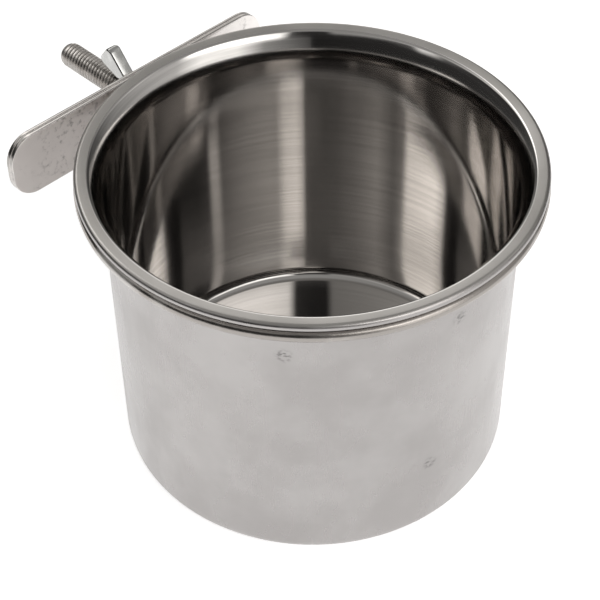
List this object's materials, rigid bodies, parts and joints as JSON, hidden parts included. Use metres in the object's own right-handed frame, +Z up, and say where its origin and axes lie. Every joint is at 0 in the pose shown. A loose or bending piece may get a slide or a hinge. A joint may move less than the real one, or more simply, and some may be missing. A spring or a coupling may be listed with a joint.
{
  "type": "seed cup",
  "caption": "Deep steel seed cup hanging in a wire ring with a bar clamp, bolt and wing nut for cage bars.",
  "frame": {"origin": "centre of the cup's base, on the table", "axes": "+Z up along the cup's axis, +Y along the clamp bolt and away from the cup, +X along the clamp plates"},
  "size_m": [0.1024, 0.1302, 0.0782],
  "materials": {
    "cup_steel": "satin",
    "wire_steel": "satin",
    "plate_steel": "satin",
    "bolt_steel": "dull",
    "nut_plating": "polished"
  },
  "bodies": {
    "holder": {"holder_ring": "wire_steel", "bracket_plate": "plate_steel", "clamp_bolt": "bolt_steel"},
    "cup": {"cup": "cup_steel"},
    "clamp_bar": {"clamp_plate": "plate_steel"},
    "wing_nut": {"wing_nut": "nut_plating"}
  },
  "joints": [
    {"name": "cup_lift", "type": "slide", "parent": "holder", "child": "cup", "axis": [0, 0, 1], "range_m": [0, 0.08]},
    {"name": "clamp_slide", "type": "slide", "parent": "holder", "child": "clamp_bar", "axis": [0, 1, 0], "range_m": [0, 0.02]},
    {"name": "nut_spin", "type": "hinge", "parent": "clamp_bar", "child": "wing_nut", "pos_m": [-0.0045, 0.0532, 0.0677], "axis": [0, 1, 0], "range_deg": [0, 7200]}
  ],
  "couplings": [
    {"joint": "nut_spin", "follows": "clamp_slide", "rad_per_m": 6283.2}
  ]
}
